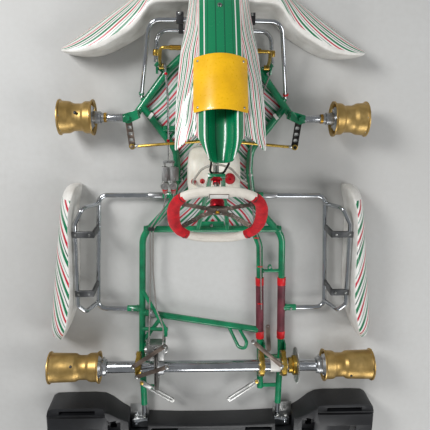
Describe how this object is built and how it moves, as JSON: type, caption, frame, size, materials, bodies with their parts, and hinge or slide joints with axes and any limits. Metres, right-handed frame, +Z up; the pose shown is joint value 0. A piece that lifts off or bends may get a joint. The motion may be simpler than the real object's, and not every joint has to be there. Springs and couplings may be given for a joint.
{
  "type": "kart chassis",
  "caption": "Racing kart rolling chassis: tube frame with wheel rims, steering, pedals, disc brake, fuel tank, bumpers and bodywork, without seat, engine or tyres.",
  "frame": {"origin": "middle of the kart's overall length and width, on the floor", "axes": "+X to the driver's right, +Y forwards, +Z up"},
  "size_m": [1.428, 2.02, 0.5699],
  "materials": {
    "frame_paint": "gloss powder coat, deep green",
    "tray_plastic": "satin sheet with diagonal stripes",
    "polished_steel": "polished",
    "chrome_tube": "bright plating",
    "hub_aluminium": "turned, satin",
    "gold_anodised": "gold anodised, satin",
    "rim_bronze": "matte bronze-gold",
    "disc_iron": "ground faces",
    "plain_steel": "zinc plated",
    "stay_steel": "dark brown-grey plating",
    "white_bodywork": "moulded bodywork with printed stripes",
    "tank_plastic": "translucent moulded polyethylene",
    "plate_plastic": "satin sheet",
    "black_plastic": "ribbed moulding",
    "red_parts": "red anodised or moulded",
    "wheel_covering": "smooth leather with suede side grips",
    "rail_sleeve": "satin wrap with bright end bands",
    "hose_rubber": "smooth"
  },
  "bodies": {
    "chassis": {"main_frame": "frame_paint", "floor_tray": "tray_plastic", "bearing_carrier_left": "gold_anodised", "bearing_carrier_engine": "gold_anodised", "bearing_carrier_right": "gold_anodised", "brake_calliper": "hub_aluminium", "master_cylinders": "hub_aluminium", "brake_hose_outer": "hose_rubber", "brake_hose_inner": "hose_rubber", "column_clamp": "red_parts", "fuel_tank": "tank_plastic", "vent_hose": "hose_rubber", "front_fairing": "white_bodywork", "front_panel": "white_bodywork", "number_plate": "plate_plastic", "panel_stay": "stay_steel", "front_bumper_upper": "chrome_tube", "front_bumper_lower": "chrome_tube", "fairing_clamp_left": "black_plastic", "fairing_clamp_right": "black_plastic", "side_bar_left": "chrome_tube", "side_bar_right": "chrome_tube", "side_pod_left": "white_bodywork", "side_pod_right": "white_bodywork", "rear_bumper": "black_plastic", "bumper_mount_left": "chrome_tube", "bumper_mount_right": "chrome_tube", "seat_stay_left_front": "stay_steel", "seat_stay_left_rear": "stay_steel", "seat_stay_right_front": "stay_steel", "seat_stay_right_rear": "stay_steel", "slotted_stay_left": "hub_aluminium", "slotted_stay_right": "hub_aluminium", "rail_sleeve_engine": "rail_sleeve", "rail_sleeve_right": "rail_sleeve", "throttle_cable": "hose_rubber"},
    "rear_axle_set": {"rear_axle": "polished_steel", "rear_hub_left": "hub_aluminium", "rear_hub_right": "hub_aluminium", "rear_rim_left": "rim_bronze", "rear_rim_right": "rim_bronze", "brake_disc": "disc_iron", "sprocket": "hub_aluminium", "sprocket_carrier": "gold_anodised"},
    "spindle_left": {"stub_axle_left": "plain_steel"},
    "spindle_right": {"stub_axle_right": "plain_steel"},
    "front_wheel_left": {"front_hub_left": "hub_aluminium", "front_rim_left": "rim_bronze"},
    "front_wheel_right": {"front_hub_right": "hub_aluminium", "front_rim_right": "rim_bronze"},
    "steering": {"steering_column": "plain_steel", "steering_hub": "red_parts", "steering_wheel": "wheel_covering"},
    "tie_rod_left": {"tie_rod_left": "gold_anodised"},
    "tie_rod_right": {"tie_rod_right": "gold_anodised"},
    "brake_pedal": {"brake_pedal": "gold_anodised"},
    "throttle_pedal": {"throttle_pedal": "gold_anodised"},
    "brake_rod": {"brake_rod": "plain_steel"},
    "tank_cap": {"tank_cap": "red_parts"}
  },
  "joints": [
    {"name": "rear_axle_spin", "type": "hinge", "parent": "chassis", "child": "rear_axle_set", "pos_m": [0, -0.625, 0.11], "axis": [1, 0, 0], "continuous": true},
    {"name": "steering_turn", "type": "hinge", "parent": "chassis", "child": "steering", "pos_m": [0, 0.127, 0.466], "axis": [0, -0.6561, 0.7547], "range_deg": [-35, 35]},
    {"name": "spindle_left_steer", "type": "hinge", "parent": "chassis", "child": "spindle_left", "pos_m": [-0.331, 0.425, 0.106], "axis": [0, 0, 1], "range_deg": [-20, 20]},
    {"name": "spindle_right_steer", "type": "hinge", "parent": "chassis", "child": "spindle_right", "pos_m": [0.331, 0.425, 0.106], "axis": [0, 0, 1], "range_deg": [-20, 20]},
    {"name": "front_wheel_left_spin", "type": "hinge", "parent": "spindle_left", "child": "front_wheel_left", "pos_m": [-0.5, 0.425, 0.106], "axis": [1, 0, 0], "continuous": true},
    {"name": "front_wheel_right_spin", "type": "hinge", "parent": "spindle_right", "child": "front_wheel_right", "pos_m": [0.5, 0.425, 0.106], "axis": [1, 0, 0], "continuous": true},
    {"name": "tie_rod_left_swing", "type": "hinge", "parent": "spindle_left", "child": "tie_rod_left", "pos_m": [-0.318, 0.313, 0.094], "axis": [0, 0, 1], "range_deg": [-20, 20]},
    {"name": "tie_rod_right_swing", "type": "hinge", "parent": "spindle_right", "child": "tie_rod_right", "pos_m": [0.318, 0.313, 0.094], "axis": [0, 0, 1], "range_deg": [-20, 20]},
    {"name": "brake_pedal_press", "type": "hinge", "parent": "chassis", "child": "brake_pedal", "pos_m": [-0.203, 0.615, 0.062], "axis": [-1, 0, 0], "range_deg": [0, 18], "stiffness_Nm_per_rad": 2, "springref_deg": -20.05},
    {"name": "throttle_pedal_press", "type": "hinge", "parent": "chassis", "child": "throttle_pedal", "pos_m": [0.203, 0.615, 0.062], "axis": [-1, 0, 0], "range_deg": [0, 22], "stiffness_Nm_per_rad": 1.2, "springref_deg": -20.05},
    {"name": "brake_rod_pull", "type": "slide", "parent": "chassis", "child": "brake_rod", "axis": [0, 1, 0], "range_m": [0, 0.0095]},
    {"name": "tank_cap_turn", "type": "hinge", "parent": "chassis", "child": "tank_cap", "pos_m": [0.058, 0.203, 0.18], "axis": [0, 0, 1], "range_deg": [0, 180]}
  ],
  "couplings": [
    {"joint": "spindle_left_steer", "follows": "steering_turn", "ratio": 0.55},
    {"joint": "spindle_right_steer", "follows": "steering_turn", "ratio": 0.55},
    {"joint": "tie_rod_left_swing", "follows": "steering_turn", "ratio": -0.55},
    {"joint": "tie_rod_right_swing", "follows": "steering_turn", "ratio": -0.55},
    {"joint": "brake_rod_pull", "follows": "brake_pedal_press", "m_per_rad": 0.03}
  ]
}
